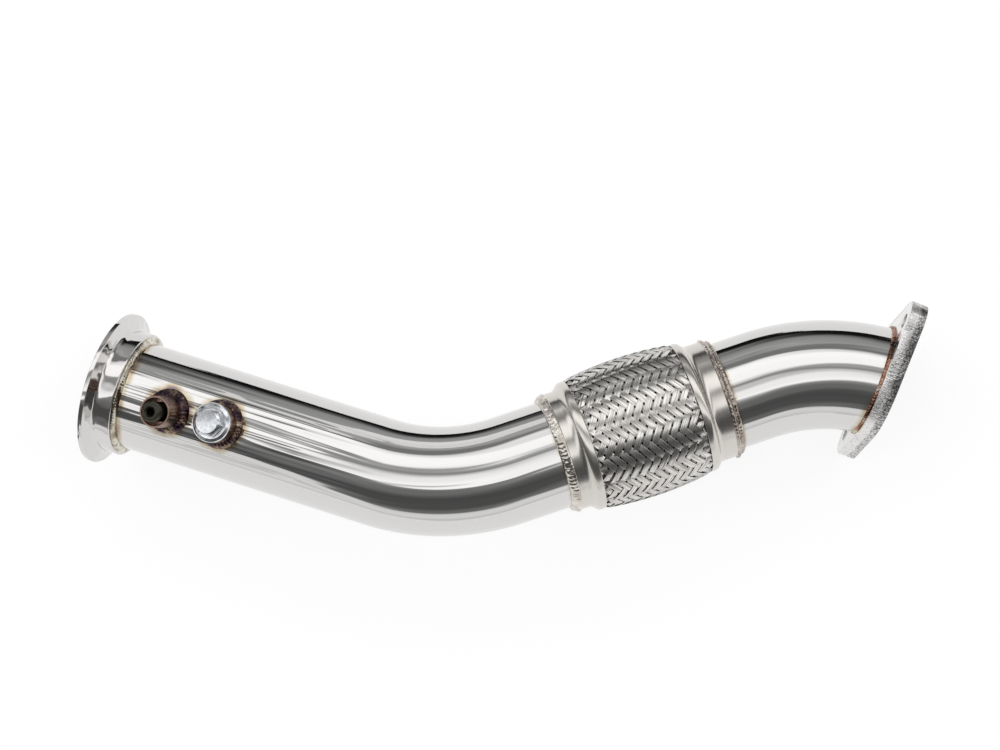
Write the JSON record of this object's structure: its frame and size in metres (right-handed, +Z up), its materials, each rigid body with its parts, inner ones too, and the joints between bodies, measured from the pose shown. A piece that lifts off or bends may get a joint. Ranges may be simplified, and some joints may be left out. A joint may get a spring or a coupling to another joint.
{
  "type": "turbo downpipe",
  "caption": "Bent exhaust pipe with a clamp rim at the inlet, ports welded on beside it, a braided flex coupler between its bends and an oblique bolt flange at the outlet.",
  "frame": {"origin": "middle of the part's box seen from above, on the surface that it lies on", "axes": "+X along the longest extent, from the clamp rim to the bolt flange; +Z up as the part lies at rest, ports on top"},
  "size_m": [0.5917, 0.163, 0.1463],
  "materials": {
    "polished_pipe": "mirror-polished stainless tube",
    "flange_steel": "turned stainless",
    "cut_plate": "cut plate, ground faces",
    "bright_weld": "rippled TIG bead",
    "tinted_weld": "rippled TIG bead, heat tinted",
    "boss_steel": "turned boss, heat tinted",
    "plug_zinc": "bright zinc plate, worn",
    "washer_metal": "soft sealing washer",
    "fitting_steel": "dull turned steel",
    "cap_steel": "pressed stainless, polished",
    "braid_wire": "woven stainless wire",
    "inner_steel": "plain stainless strip"
  },
  "bodies": {
    "root": {"inlet_flange": "flange_steel", "inlet_flange_weld": "tinted_weld", "inlet_pipe": "polished_pipe", "tall_boss": "boss_steel", "tall_boss_weld": "tinted_weld", "line_fitting": "fitting_steel", "short_boss": "boss_steel", "short_boss_weld": "tinted_weld", "hex_plug": "plug_zinc", "plug_washer": "washer_metal", "flex_inlet_weld": "bright_weld", "flex_inlet_nipple": "inner_steel", "flex_inlet_cap": "cap_steel", "flex_braid": "braid_wire", "flex_bellows": "inner_steel", "flex_liner": "inner_steel", "flex_outlet_cap": "cap_steel", "flex_outlet_nipple": "inner_steel", "flex_outlet_weld": "bright_weld", "outlet_pipe": "polished_pipe", "outlet_flange_weld": "tinted_weld", "outlet_flange": "cut_plate"}
  },
  "joints": []
}
